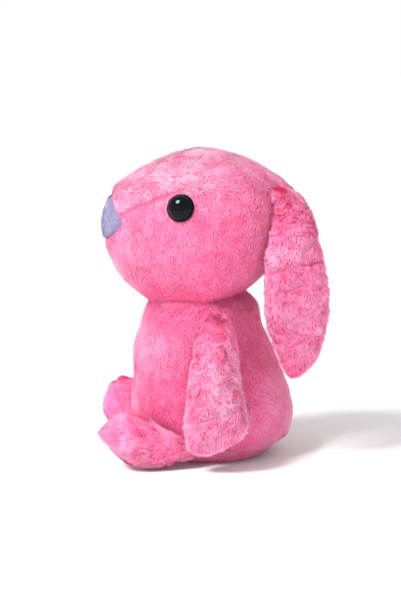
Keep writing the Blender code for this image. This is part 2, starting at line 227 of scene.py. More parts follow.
def torso_rows():
    """The torso's sections, with its shoulders on the neck ball."""
    dome = []
    for degrees in DOME_ANGLES:
        a = math.radians(degrees)
        half = NECK_RADIUS / MM * math.cos(a) if degrees < 90 else 0
        dome.append((NECK_PIVOT[2] / MM + NECK_RADIUS / MM * math.sin(a), 0, NECK_PIVOT[1] / MM, half, half))
    return TORSO + dome


def sections(rows, t):
    """The run's sections at the t values, 0 at its first row and 1 at its last, with round ends."""
    rows = np.array(rows, float)
    flip = np.array((1, 1, 1, -1, -1))
    padded = np.vstack((rows[1] * flip, rows, rows[-2] * flip))
    last = len(rows) - 1
    t = np.clip(np.asarray(t, float), 0, 1)
    span = np.minimum((t * last).astype(int), last - 1)
    f = (t * last - span)[:, None]
    a, b, c, d = (padded[span + k] for k in range(4))
    return 0.5 * (2 * b + (c - a) * f + (2 * a - 5 * b + 4 * c - d) * f ** 2
                  + (3 * b - a - 3 * c + d) * f ** 3)


def surface(rows, t, angle, run, power, side=1):
    """Points of the form at t and angle, in metres."""
    s, first, second, half_1, half_2 = sections(rows, t).T
    c, d = np.cos(angle), np.sin(angle)
    a = first + half_1 * np.copysign(np.abs(c) ** (2 / power), c)
    b = second + half_2 * np.copysign(np.abs(d) ** (2 / power), d)
    points = (a, b, s) if run == "Z" else (a, s, b)
    return np.stack((points[0] * side, points[1], points[2]), axis=-1) * MM


def even_places(rows, step, low=0.0, high=1.0):
    """Values of t that follow each other by about the step along the form's outline."""
    t = np.linspace(low, high, 600)
    sec = sections(rows, t)
    moves = np.diff(np.stack((sec[:, 0], np.maximum(sec[:, 3], sec[:, 4])), axis=1), axis=0)
    length = np.concatenate(((0,), np.cumsum(np.hypot(*moves.T)))) * MM
    count = max(8, round(length[-1] / step))
    return np.interp(np.linspace(0, length[-1], count + 1), length, t)


def where(rows, place):
    """The t value at which the run reaches the place."""
    t = np.linspace(0, 1, 2000)
    s = sections(rows, t)[:, 0]
    if s[0] > s[-1]:
        t, s = t[::-1], s[::-1]
    return float(np.interp(place, s, t))


# Noise that is the same in every run

def noise(points, scale, seed=0):
    """Smooth values from -1 to 1 that change over the scale."""
    p = points / scale + seed * 7.31
    cell = np.floor(p).astype(np.int64)
    f = p - cell
    u = f * f * f * (f * (f * 6 - 15) + 10)
    total = np.zeros(len(points))
    for corner in itertools.product((0, 1), repeat=3):
        c = cell + np.array(corner)
        h = c[:, 0] * 73856093 ^ c[:, 1] * 19349663 ^ c[:, 2] * 83492791 ^ (seed + 1) * 2654435761
        h = (h ^ (h >> 13)) * 1274126177
        h = h ^ (h >> 16)
        value = (h & 0xFFFF) / 32767.5 - 1
        weight = np.prod(np.where(np.array(corner), u, 1 - u), axis=1)
        total += value * weight
    return total


def fractal(points, scale, octaves, seed=0):
    total = np.zeros(len(points))
    for i in range(octaves):
        total += noise(points, scale / 2 ** i, seed + 31 * i) / 2 ** i
    return total


def bump(distance, width):
    return np.exp(-(distance / width) ** 2)


def patch(p, centre, width):
    """1 at the centre, which is in millimetres, and 0 away from there."""
    return bump(np.linalg.norm(p - np.array(centre) * MM, axis=1), width)


def mirrored(p):
    """The points with those of the right side moved to the left side."""
    return np.abs(p) * (1, 0, 0) + p * (0, 1, 1)


# Skins

def grid_mesh(rows, run, power, step, side=1, low=0.0, high=1.0, close_low=True, close_high=True):
    """A bmesh of the form between two t values: rings of quads, closed by a fan at a round end."""
    places = even_places(rows, step, low, high)
    sec = sections(rows, places)
    around = 2 * math.pi * np.max(np.hypot(sec[:, 3], sec[:, 4])) / math.sqrt(2) * MM
    count = 4 * max(4, round(around / step / 4))
    angles = np.arange(count) * 2 * math.pi / count
    inner = places[(1 if close_low else 0):(-1 if close_high else None)]
    t, angle = np.meshgrid(inner, angles, indexing="ij")
    points = surface(rows, t.ravel(), angle.ravel(), run, power, side)
    bm = bmesh.new()
    verts = [bm.verts.new(p) for p in points]
    rings = len(inner)
    for i in range(rings - 1):
        for j in range(count):
            k = (j + 1) % count
            bm.faces.new((verts[i * count + j], verts[i * count + k],
                          verts[(i + 1) * count + k], verts[(i + 1) * count + j]))
    for closed, place, ring in ((close_low, places[0], 0), (close_high, places[-1], rings - 1)):
        if closed:
            pole = bm.verts.new(surface(rows, np.array((place,)), np.zeros(1), run, power, side)[0])
            for j in range(count):
                bm.faces.new((verts[ring * count + j], verts[ring * count + (j + 1) % count], pole))
    bmesh.ops.recalc_face_normals(bm, faces=bm.faces)
    return bm


def cut_along(bm, field):
    """Splits the faces along the line where the field of a point's coordinates is zero."""
    bm.verts.ensure_lookup_table()
    co = np.array([v.co for v in bm.verts])
    values = field(co)
    value = {v: values[i] for i, v in enumerate(bm.verts)}
    near = 0.12         # of an edge's length: a point this near the line moves onto it
    crossing = [e for e in bm.edges if value[e.verts[0]] * value[e.verts[1]] < 0]
    new = set()
    for edge in crossing:
        a, b = edge.verts
        fraction = value[a] / (value[a] - value[b])
        if fraction < near or fraction > 1 - near:
            moved, other = (a, b) if fraction < near else (b, a)
            if moved in new or value[moved] == 0:
                continue
            share = fraction if moved is a else 1 - fraction
            moved.co = moved.co.lerp(other.co, share)
            value[moved] = 0.0
            new.add(moved)
    for edge in [e for e in bm.edges if value[e.verts[0]] * value[e.verts[1]] < 0]:
        a, b = edge.verts
        fraction = value[a] / (value[a] - value[b])
        _, vert = bmesh.utils.edge_split(edge, a, fraction)
        value[vert] = 0.0
        new.add(vert)
    for face in list(bm.faces):
        on_line = [v for v in face.verts if value[v] == 0]
        if len(on_line) == 2:
            a, b = on_line
            if not any(a in e.verts and b in e.verts for e in face.edges):
                bmesh.utils.face_split(face, a, b)


def mesh_arrays(bm):
    """The bmesh as arrays: points, corner indices, face sizes."""
    bm.verts.index_update()
    points = np.array([v.co for v in bm.verts])
    corners = np.array([v.index for f in bm.faces for v in f.verts])
    sizes = np.array([len(f.verts) for f in bm.faces])
    bm.free()
    return points, corners, sizes


def mesh_of(name, points, corners, sizes):
    mesh = bpy.data.meshes.new(name)
    mesh.vertices.add(len(points))
    mesh.vertices.foreach_set("co", np.asarray(points, np.float32).ravel())
    mesh.loops.add(len(corners))
    mesh.loops.foreach_set("vertex_index", np.asarray(corners, np.int32))
    mesh.polygons.add(len(sizes))
    starts = np.concatenate(((0,), np.cumsum(sizes)[:-1]))
    mesh.polygons.foreach_set("loop_start", starts.astype(np.int32))
    mesh.update(calc_edges=True)
    mesh.polygons.foreach_set("use_smooth", np.ones(len(sizes), bool))
    return mesh


def normals_of(mesh):
    out = np.empty(len(mesh.vertices) * 3, np.float32)
    mesh.vertices.foreach_get("normal", out)
    return out.reshape(-1, 3).astype(float)


def object_of(name, mesh, material):
    item = bpy.data.objects.new(name, mesh)
    bpy.context.scene.collection.objects.link(item)
    mesh.materials.append(material)
    return item


def add_uv(mesh, uv_of_corner):
    """The one UV map, under the name that keeps the export from unwrapping the mesh again."""
    layer = mesh.uv_layers.new(name="OFBake")
    layer.data.foreach_set("uv", np.asarray(uv_of_corner, np.float32).ravel())


class Skin:
    """A whole form's fabric, with each face given to a panel."""

    def __init__(self, bm, depth, lie, panel_of, seam, held, slack, reach):
        self.start, self.corners, self.sizes = mesh_arrays(bm)
        self.seam = seam
        self.held = held
        self.slack = slack
        self.reach = reach
        self.depth = depth
        self.starts = np.concatenate(((0,), np.cumsum(self.sizes)[:-1]))
        centres = np.add.reduceat(self.start[self.corners], self.starts, axis=0) / self.sizes[:, None]
        self.panel = panel_of(centres)
        normals = self.normals_at(self.start)
        self.lay(self.start + normals * (lie(self.start, normals) - depth)[:, None])

    def mesh(self, name, points):
        return mesh_of(name, points, self.corners, self.sizes)

    def normals_at(self, points):
        mesh = self.mesh("skin", points)
        normals = normals_of(mesh)
        bpy.data.meshes.remove(mesh)
        return normals

    def lay(self, points):
        self.points = points
        self.normals = self.normals_at(points)

    def panel_mesh(self, name, panel, outward):
        """One panel's mesh, with a map that looks at it along its outward direction."""
        faces = np.flatnonzero(self.panel == panel)
        corner_face = np.repeat(np.arange(len(self.sizes)), self.sizes)
        corners = self.corners[np.isin(corner_face, faces)]
        used, corners = np.unique(corners, return_inverse=True)
        mesh = mesh_of(name, self.points[used], corners, self.sizes[faces])
        outward = np.array(outward, float)
        across = np.cross(outward, (0, 0, 1) if abs(outward[2]) < 0.9 else (0, 1, 0))
        across /= np.linalg.norm(across)
        up = np.cross(across, outward)
        co = self.points[used]
        middle = (co.max(0) + co.min(0)) / 2
        height = (co - middle) @ up
        round_about = np.arctan2((co - middle) @ across, np.maximum((co - middle) @ outward, -0.01) + 0.03)
        uv = np.stack((0.5 + round_about / 4, 0.5 + height / 0.3), axis=1)
        add_uv(mesh, uv[corners])
        return mesh

    def triangles(self, panel):
        """Vertex triples of the panel's faces, fanned."""
        out = []
        for size in np.unique(self.sizes):
            starts = self.starts[(self.sizes == size) & (self.panel == panel)]
            for k in range(1, size - 1):
                out.append(np.stack((self.corners[starts], self.corners[starts + k],
                                     self.corners[starts + k + 1]), axis=1))
        return np.concatenate(out)


def settle(skins):
    """Cloth simulation of all the skins at once: each is cut larger than its form, so it buckles and
    puckers between the places where it is held."""
    scene = bpy.context.scene
    cloths = []
    for skin in skins:
        item = bpy.data.objects.new("cloth", skin.mesh("cloth", skin.points))
        scene.collection.objects.link(item)
        group = item.vertex_groups.new(name="held")
        levels = np.round(np.clip(skin.held(skin.start), 0, 1) * HOLD_LEVELS) / HOLD_LEVELS
        for level in np.unique(levels[levels > 0]):
            group.add(np.flatnonzero(levels == level).tolist(), float(level), "REPLACE")
        settings = item.modifiers.new("cloth", "CLOTH").settings
        settings.vertex_group_mass = "held"
        settings.shrink_min = settings.shrink_max = -skin.slack
        settings.effector_weights.gravity = 0
        for key, value in CLOTH.items():
            setattr(settings, key, value)
        cloths.append((skin, item))
    for moment in range(1, CLOTH_FRAMES + 1):
        scene.frame_set(moment)
    depsgraph = bpy.context.evaluated_depsgraph_get()
    for skin, item in cloths:
        settled = np.empty(len(skin.points) * 3, np.float32)
        item.evaluated_get(depsgraph).data.vertices.foreach_get("co", settled)
        move = settled.reshape(-1, 3) - skin.points
        length = np.linalg.norm(move, axis=1)[:, None]
        move *= skin.reach * np.tanh(length / skin.reach) / np.maximum(length, 1e-9)
        mesh = item.data
        bpy.data.objects.remove(item)
        bpy.data.meshes.remove(mesh)
        skin.lay(skin.points + move)
    scene.frame_set(1)


def unit(v):
    return v / np.maximum(np.linalg.norm(v, axis=1), 1e-9)[:, None]


def strands(name, skin, panel, look, seed, material):
    """The panel's pile: tapered, bent strands that lean along the nap, shaded as one soft surface."""
    rng = np.random.default_rng(seed)
    tri = skin.triangles(panel)
    a, b, c = (skin.points[tri[:, k]] for k in range(3))
    area = np.linalg.norm(np.cross(b - a, c - a), axis=1) / 2
    centre = (a + b + c) / 3
    density = STRANDS_PER_MM2 * look.get("density", 1.0) / MM ** 2
    keep = look["keep"](centre) if "keep" in look else np.ones(len(tri))
    total = np.cumsum(area * keep)
    count = int(total[-1] * density)
    pick = np.searchsorted(total, (np.arange(count) + rng.random(count)) * total[-1] / count)
    pick = np.minimum(pick, len(tri) - 1)
    r1, r2 = np.sqrt(rng.random(count)), rng.random(count)
    w = np.stack((1 - r1, r1 * (1 - r2), r1 * r2), axis=1)[:, :, None]
    root = (skin.points[tri[pick]] * w).sum(1)
    normal = unit((skin.normals[tri[pick]] * w).sum(1))
    place = (skin.start[tri[pick]] * w).sum(1)

    nap = look["nap"](place)
    swirl = look["swirl"] * fractal(place, 14 * MM, 2, 3) + look["stray"] * rng.normal(size=count)
    nap = unit(nap - normal * (nap * normal).sum(1)[:, None])
    side = np.cross(normal, nap)
    nap = nap * np.cos(swirl)[:, None] + side * np.sin(swirl)[:, None]
    tuft = fractal(place, look["tuft"], 2, 11)
    grow = look["grow"](place) if "grow" in look else np.ones(count)
    lean = look["lean"] + look["tufts"] * tuft + LEAN_SPREAD * rng.normal(size=count) - 0.5 * (grow - 1)
    lean = np.clip(lean, *LEAN_LIMITS)[:, None]
    length = look["length"] * (1 + LENGTH_BY_TUFT * tuft + LENGTH_SPREAD * rng.normal(size=count))
    to_seam = skin.seam(place)
    sewn = bump(to_seam, SEWN_WIDTH)
    length = np.clip(length, 0.5 * look["length"], 1.5 * look["length"]) * (1 - SEWN_SHORTER * sewn)
    length = (length * grow)[:, None]
    middle = root + 0.5 * length * (normal * np.cos(0.6 * lean) + nap * np.sin(0.6 * lean))
    tip = middle + 0.5 * length * (normal * np.cos(1.25 * lean) + nap * np.sin(1.25 * lean))
    wide = np.cross(normal, nap) * (0.5 * look["width"] * (0.75 + 0.5 * rng.random(count)))[:, None]
    points = np.stack((root - wide, root + wide, middle - 0.8 * wide, middle + 0.8 * wide, tip), axis=1)
    points[:, :, 2] = np.maximum(points[:, :, 2], 0)        # the pile lies flat on the floor
    base = np.arange(count)[:, None] * 5
    corners = (base + np.array((1, 0, 2, 3, 3, 2, 4))).ravel()
    sizes = np.tile((4, 3), count)
    mesh = mesh_of(name, points.reshape(-1, 3), corners, sizes)

    relief = ((root - place) * normal).sum(1) + skin.depth
    tone = look["tone"] + TONE_BLOTCH[0] * fractal(place, TONE_BLOTCH[1], 3, 5) + look["tufts"] * tuft
    # The folds term paints light and shade: paler where the cover stands out, darker in its creases.
    tone += TONE_SPREAD * rng.normal(size=count) + look["folds"] * relief / MM
    tone += 0.12 * bump(to_seam - 3 * MM, 1.2 * MM) - look["line"] * bump(to_seam, 1.0 * MM)
    # Painted light and shade of each form: paler where light falls, deeper in the shade of creases and joins.
    if "painted_light" in look:
        tone += look["painted_light"](place)
    tone = np.clip(tone, 0.02, 0.98)
    heights = np.array(STRAND_UV_HEIGHTS)[[1, 0, 2, 3, 3, 2, 4]]
    uv = np.stack((np.repeat(tone, len(heights)), np.tile(heights, count)), axis=1)
    add_uv(mesh, uv)
    shading = unit(normal + 0.30 * unit(tip - root) + 0.14 * rng.normal(size=(count, 3)))
    mesh.normals_split_custom_set_from_vertices(np.repeat(shading, 5, axis=0).astype(np.float32))
    return object_of(name, mesh, material)


# Materials

def nodes_of(name):
    material = bpy.data.materials.new(name)
    material.use_nodes = True
    return material, material.node_tree, material.node_tree.nodes["Principled BSDF"]


def grey(value):
    return (value,) * 3


def ramp(tree, stops, source):
    node = tree.nodes.new("ShaderNodeValToRGB")
    node.color_ramp.elements.remove(node.color_ramp.elements[1])
    for i, (place, colour) in enumerate(stops):
        stop = node.color_ramp.elements[0] if i == 0 else node.color_ramp.elements.new(place)
        stop.position = place
        stop.color = (*colour, 1)
    tree.links.new(source, node.inputs[0])
    return node.outputs[0]


def mixed(tree, factor, first, second):
    node = tree.nodes.new("ShaderNodeMix")
    node.data_type = "RGBA"
    for socket, value in ((node.inputs[0], factor), (node.inputs[6], first), (node.inputs[7], second)):
        if isinstance(value, tuple):
            socket.default_value = (*value, 1)
        else:
            tree.links.new(value, socket)
    return node.outputs[2]


def noise_value(tree, scale, detail=3, roughness=0.5):
    place = tree.nodes.new("ShaderNodeTexCoord")
    texture = tree.nodes.new("ShaderNodeTexNoise")
    texture.inputs["Scale"].default_value = scale
    texture.inputs["Detail"].default_value = detail
    texture.inputs["Roughness"].default_value = roughness
    tree.links.new(place.outputs["Object"], texture.inputs["Vector"])
    return texture.outputs["Fac"]


def add_bump(tree, shader, height, strength, distance):
    node = tree.nodes.new("ShaderNodeBump")
    node.inputs["Strength"].default_value = strength
    node.inputs["Distance"].default_value = distance
    tree.links.new(height, node.inputs["Height"])
    tree.links.new(node.outputs["Normal"], shader.inputs["Normal"])


def pile_material(name, root, low, high, pale, tip):
    """Strands: dark at the root and pale at the tip, with the strand's tone across the map: random blotches
    and also painted light and shade.
    """
    material, tree, shader = nodes_of(name)
    uv = tree.nodes.new("ShaderNodeUVMap")
    uv.uv_map = "OFBake"
    split = tree.nodes.new("ShaderNodeSeparateXYZ")
    tree.links.new(uv.outputs["UV"], split.inputs[0])
    body = ramp(tree, ((0.1, low), (0.7, high), (1.0, pale)), split.outputs["X"])
    grown = ramp(tree, ((0.0, grey(0)), (0.45, grey(0.75)), (1.0, grey(1))), split.outputs["Y"])
    at_tip = ramp(tree, ((0.5, grey(0)), (1.0, grey(0.55))), split.outputs["Y"])
    coloured = mixed(tree, grown, root, body)
    tree.links.new(mixed(tree, at_tip, coloured, tip), shader.inputs["Base Color"])
    shader.inputs["Roughness"].default_value = 0.6
    shader.inputs["Specular IOR Level"].default_value = 0.3
    # The sheen's weight follows the tone, so it is low where shade is painted in and high where light is
    # painted in.
    sheen_by_tone = ramp(tree, ((0.1, grey(0.05)), (0.9, grey(0.6))), split.outputs["X"])
    tree.links.new(sheen_by_tone, shader.inputs["Sheen Weight"])
    shader.inputs["Sheen Roughness"].default_value = 0.5
    shader.inputs["Sheen Tint"].default_value = (1, 0.86, 0.96, 1)
    return material


def ground_material(name, deep, light):
    """The fabric's ground under the pile."""
    material, tree, shader = nodes_of(name)
    blotch = noise_value(tree, 60, 4, 0.6)
    tree.links.new(ramp(tree, ((0.3, deep), (0.7, light)), blotch), shader.inputs["Base Color"])
    rough = ramp(tree, ((0.3, grey(0.8)), (0.7, grey(0.95))), noise_value(tree, 300, 2))
    tree.links.new(rough, shader.inputs["Roughness"])
    add_bump(tree, shader, noise_value(tree, 900, 3, 0.6), 0.6, 0.6 * MM)
    shader.inputs["Sheen Weight"].default_value = 0.3
    return material


def eye_material():
    """Moulded black plastic, polished."""
    material, tree, shader = nodes_of("black eye")
    stops = ((0.3, (0.001, 0.0012, 0.002)), (0.7, (0.002, 0.0022, 0.0035)))
    tree.links.new(ramp(tree, stops, noise_value(tree, 180)), shader.inputs["Base Color"])
    rough = ramp(tree, ((0.3, grey(0.03)), (0.7, grey(0.06))), noise_value(tree, 500))
    tree.links.new(rough, shader.inputs["Roughness"])
    shader.inputs["IOR"].default_value = 1.27
    shader.inputs["Specular Tint"].default_value = (0.78, 0.88, 1, 1)
    return material


def plain_material(name, dark, pale, roughness, scale, bump_distance):
    material, tree, shader = nodes_of(name)
    grain = noise_value(tree, scale, 5, 0.7)
    tree.links.new(ramp(tree, ((0.3, dark), (0.7, pale)), grain), shader.inputs["Base Color"])
    shader.inputs["Roughness"].default_value = roughness
    add_bump(tree, shader, grain, 0.8, bump_distance)
    return material


PINK_PILE = pile_material("pink pile", (0.9, 0.045, 0.20), (0.98, 0.085, 0.32), (0.98, 0.34, 0.60),
                          (1.0, 0.64, 0.84), (1.0, 0.56, 0.79))
LILAC_PILE = pile_material("lilac pile", (0.26, 0.22, 0.42), (0.36, 0.33, 0.57), (0.47, 0.43, 0.67),
                           (0.55, 0.52, 0.74), (0.58, 0.54, 0.76))
PINK_GROUND = ground_material("pink ground", (0.85, 0.05, 0.22), (0.97, 0.10, 0.33))
LILAC_GROUND = ground_material("lilac ground", (0.30, 0.26, 0.46), (0.38, 0.34, 0.56))
EYE_BLACK = eye_material()
FIBRE = plain_material("polyester fibre", (0.7, 0.7, 0.68), (0.88, 0.88, 0.86), 0.95, 120, 2 * MM)
COTTON = plain_material("pellet bag cotton", (0.66, 0.64, 0.6), (0.8, 0.79, 0.75), 0.9, 700, 0.4 * MM)
WASHER_PLASTIC = plain_material("washer plastic", (0.5, 0.5, 0.51), (0.6, 0.6, 0.61), 0.35, 90, 0.1 * MM)


# Looks of the pile: how it lies on each form

def ramp_between(values, low, high):
    """0 up to the low value and 1 from the high one, with a smooth rise between."""
    share = np.clip((values - low) / (high - low), 0, 1)
    return share * share * (3 - 2 * share)


def head_nap(p):
    """Down the cheeks and a little forward, and back over the top."""
    top = ramp_between(p[:, 2], 188 * MM, 210 * MM)
    forward = -0.45 * ramp_between(p[:, 1], -40 * MM, 30 * MM)
    return np.stack((np.zeros(len(p)), forward * (1 - top) + 0.8 * top, -1 + 0.9 * top), axis=1)


def steady_nap(x, y, z):
    """The same direction everywhere."""
    return lambda p: np.broadcast_to(np.array((x, y, z), float), p.shape)


SMOOTH = {"length": 3.2 * MM, "width": 0.34 * MM, "lean": 1.12, "swirl": 0.5, "stray": 0.2, "tuft": 5 * MM,
          "tufts": 0.12, "folds": 0.1, "line": 0.6, "tone": 0.36}
TUFTED = {"length": 3.8 * MM, "width": 0.36 * MM, "lean": 0.9, "swirl": 0.8, "stray": 0.3, "tuft": 4 * MM,
          "tufts": 0.24, "folds": 0.13, "line": 0.2, "tone": 0.42}


def neck_fold(p, width):
    """1 where the head meets the torso, 0 away from there."""
    out = np.hypot(p[:, 0], p[:, 1] - NECK_PIVOT[1]) - NECK_RIM
    return bump(np.hypot(out, p[:, 2] - NECK_RIM_Z), width)


def head_painted_light(p):
    """Painted light and shade: paler on the forehead and snout, where the light falls from above and in
    front, and deeper in the shade at the neck.
    """
    front = ramp_between(-p[:, 1], 45 * MM, 75 * MM)
    top = ramp_between(p[:, 2], 174 * MM, 208 * MM) * (1 - ramp_between(p[:, 1], -15 * MM, 50 * MM))
    return 0.62 * top + 0.14 * front - 0.4 * neck_fold(p, 14 * MM)


def torso_painted_light(p):
    """Painted light and shade: paler on the lit chest, deeper in the shade beside the legs, behind the arms,
    at the floor and at the neck.
    """
    q = mirrored(p)
    painted_light = 0.3 * patch(q, (28, -45, 88), 20 * MM) - 0.45 * patch(q, (40, -42, 30), 17 * MM)
    painted_light -= 0.3 * patch(q, (50, 22, 80), 22 * MM) + 0.3 * ramp_between(-p[:, 2], -9 * MM, -3 * MM)
    return painted_light - 0.45 * neck_fold(p, 14 * MM)


HEAD_LOOK = {**SMOOTH, "nap": head_nap, "painted_light": head_painted_light,
             "grow": lambda p: 1 + 0.4 * neck_fold(p, 6 * MM)}
NOSE_LOOK = {**SMOOTH, "nap": steady_nap(0, 0.4, -1), "length": 2.2 * MM, "width": 0.3 * MM, "density": 1.6,
             "tufts": 0.3, "line": 0.2}
TORSO_LOOK = {**SMOOTH, "nap": steady_nap(0, 0.15, -1), "painted_light": torso_painted_light,
              "grow": lambda p: 1 + 0.6 * neck_fold(p, 8 * MM)}
EAR_LOOK = {**TUFTED, "nap": steady_nap(0, 0.1, -1), "tone": 0.35, "tufts": 0.2, "line": 0.06}
# The arms' paler tone is painted sheen, and they are painted darker at the top, in the shade by the shoulder.
ARM_LOOK = {**TUFTED, "nap": steady_nap(0, 0.1, -1), "tone": 0.58, "folds": 0.06, "tufts": 0.18,
            "painted_light": lambda p: -0.28 * ramp_between(p[:, 2], 80 * MM, 102 * MM)}
# The legs are painted darker on the inner side near their root, in the shade where they meet the torso.
LEG_LOOK = {**TUFTED, "nap": steady_nap(0, -1, -0.1), "tufts": 0.16, "lean": 1.0, "tone": 0.36,
            "painted_light": lambda p: -0.25 * ramp_between(-np.abs(p[:, 0]), -54 * MM, -42 * MM)
            * ramp_between(p[:, 1], -62 * MM, -45 * MM)}


def dress(skin, panel, node, body, outward, look, seed, blend=None, ground=PINK_GROUND, pile_paint=PINK_PILE):
    """Makes one panel's skin and pile, ties both to the body, or with a bend given only bakes their place,
    and stands them for the CAD panel.
    """
    mesh = skin.panel_mesh(f"{node}_skin", panel, outward)
    cover = object_of(f"{node}_skin", mesh, ground)
    wall = cover.modifiers.new("fabric", "SOLIDIFY")
    wall.thickness = FABRIC
    wall.offset = -1
    pile = strands(f"{node}_pile", skin, panel, look, seed, pile_paint)
    for item in (cover, pile):
        if blend:
            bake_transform(item)
        else:
            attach(item, body)
    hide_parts(node)


def stuff(node, body, slot, paint, inset, lump, lump_size):
    """A soft, uneven clump of filling inside the CAD filling's shape, which it stands for."""
    bm = bmesh.new()
    bm.from_mesh(bpy.data.objects[node].data)
    bmesh.ops.triangulate(bm, faces=bm.faces)
    bmesh.ops.subdivide_edges(bm, edges=bm.edges, cuts=1, use_grid_fill=True)
    for _ in range(3):
        bmesh.ops.smooth_vert(bm, verts=bm.verts, factor=0.5, use_axis_x=True, use_axis_y=True,
                              use_axis_z=True)
    bm.normal_update()
    points = np.array([v.co for v in bm.verts])
    normals = np.array([v.normal for v in bm.verts])
    points += normals * (-inset - lump * (0.5 + 0.5 * fractal(points, lump_size, 2, 9)))[:, None]
    for vert, point in zip(bm.verts, points):
        vert.co = point
    mesh = bpy.data.meshes.new(f"{node}_clump")
    bm.to_mesh(mesh)
    bm.free()
    mesh.materials.clear()
    mesh.shade_smooth()
    clump = object_of(f"{node}_clump", mesh, paint)
    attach(clump, body)
    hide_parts(node)


def stuff_everything():
    for body in ("torso", "neck", "head"):
        stuff(f"{body}_fibrefill", body, "polyester_filling", FIBRE, *LARGE_WAD)
    for kind, (word, _) in itertools.product(("ear", "arm", "leg"), SIDES):
        stuff(f"{kind}_{word}_filling", f"{kind}_{word}", "polyester_filling", FIBRE, *SMALL_WAD)
    stuff("pellet_bag", "torso", "pellet_bag", COTTON, *PELLETS)
    for word, _ in SIDES:
        washer = bpy.data.objects[f"eye_washer_{word}"]
        washer.data.materials.clear()
        washer.data.materials.append(WASHER_PLASTIC)


def swell(distance, depth, width):
    """A sewn seam pulls the fabric in, and it swells again beside it."""
    return -depth * bump(distance, width) + 0.35 * depth * bump(distance - 2.6 * width, 1.6 * width)


def crease(p, start, end, depth, width, seed):
    """A wavy fold between two places in Y and Z, deepest in its middle, with a soft roll beside it."""
    a, b = np.array(start) * MM, np.array(end) * MM
    length = np.linalg.norm(b - a)
    along = (b - a) / length
    across = np.array((-along[1], along[0]))
    q = p[:, 1:] - a
    u = q @ along
    v = q @ across + 2.5 * MM * noise(p, 12 * MM, seed)
    inside = np.clip(np.minimum(u, length - u) / (0.3 * length) + 0.3, 0, 1)
    return inside * depth * (0.5 * bump(v - 2.2 * width, 1.5 * width) - bump(v, width))


# The head

def crown_seam_z(y):
    """Height of the seam between the crown and the cheeks."""
    ys, zs = np.array(CROWN_SEAM).T * MM
    return np.interp(y, ys, zs)


def nose_field(p):
    """Below zero inside the nose patch's rounded diamond, seen from the front."""
    above = p[:, 2] > NOSE_CORNER_Z
    x = np.abs(p[:, 0]) / NOSE_HALF_WIDTH
    z = np.abs(p[:, 2] - NOSE_CORNER_Z) / np.where(above, NOSE_ABOVE, NOSE_BELOW)
    power = np.where(above, 2 / NOSE_ROUNDNESS[0], 2 / NOSE_ROUNDNESS[1])
    inside = (x ** power + z ** power) ** (1 / power) - 1
    far_outside = 5.0
    return np.where(p[:, 1] < NOSE_FRONT, inside, far_outside)


def head_panel(p):
    cheek = np.where(p[:, 0] > 0, LEFT_CHEEK, RIGHT_CHEEK)
    panel = np.where(p[:, 2] > crown_seam_z(p[:, 1]), CROWN, cheek)
    return np.where(nose_field(p) < 0, NOSE, panel)


def head_seam(p):
    """Distance to the nearest seam of the head, about."""
    to_nose = np.abs(nose_field(p)) * 16 * MM
    to_crown = np.abs(p[:, 2] - crown_seam_z(p[:, 1])) * 0.85
    behind_eye = ramp_between(p[:, 1], -24 * MM, -5 * MM) * 6 * MM
    to_chin = np.abs(p[:, 0]) + np.where(p[:, 2] < crown_seam_z(p[:, 1]), 0, 1)
    others = np.minimum(to_crown + behind_eye, to_chin)
    return np.where(nose_field(p) < 0, to_nose, np.minimum(to_nose, others))


def eye_seat(side):
    """The eye's place on the head and the direction it looks to."""
    t = where(HEAD, EYE_Y / MM)
    _, _, centre_z, _, half = sections(HEAD, (t,))[0]
    angle = math.asin(((EYE_Z / MM - centre_z) / half) ** (HEAD_POWER / 2))
    step = 0.01
    places = surface(HEAD, np.array((t, t + step, t)), np.array((angle, angle, angle + step)), "Y",
                     HEAD_POWER)
    normal = np.cross(places[1] - places[0], places[2] - places[0])
    normal /= np.linalg.norm(normal)
    mirror = np.array((side, 1, 1))
    return Vector(places[0] * mirror), Vector(normal * mirror)


def near_eyes(p):
    """Distance to the nearer eye's seat."""
    return np.min([np.linalg.norm(p - np.array(eye_seat(side)[0]), axis=1) for _, side in SIDES], axis=0)


def head_lie(p, n):
    move = 0.5 * MM * fractal(p, 24 * MM, 2, 1) + 0.2 * MM * fractal(p, 5 * MM, 2, 2)
    move += swell(head_seam(p), 1.3 * MM, 1.3 * MM)
    away = near_eyes(p)
    move += -1.6 * MM * bump(away, 11 * MM) + 0.8 * MM * bump(away - 13 * MM, 4 * MM)
    q = mirrored(p)
    move -= 0.6 * MM * patch(q, (40, -36, 206), 9 * MM)
    move -= 1.4 * MM * patch(q, (32, 46, 203), 7 * MM)
    return move


def head_skin():
    bm = grid_mesh(HEAD, "Y", HEAD_POWER, SKIN_STEP)
    cut_along(bm, lambda p: p[:, 2] - crown_seam_z(p[:, 1]))
    cut_along(bm, nose_field)
    inside_neck = [v for v in bm.verts
                   if np.linalg.norm(np.array(v.co) - NECK_PIVOT) < NECK_RADIUS - 3 * MM]
    bmesh.ops.delete(bm, geom=inside_neck, context="VERTS")

    def held(p):
        rim = np.linalg.norm(p - NECK_PIVOT, axis=1) < NECK_RADIUS + 4 * MM
        sewn = 0.5 * bump(head_seam(p), 1.2 * MM) + bump(near_eyes(p), 12 * MM)
        return np.where(rim | (nose_field(p) < 0), 1, sewn)

    return Skin(bm, PILE_DEPTH, head_lie, head_panel, head_seam, held, *HEAD_PLAY)


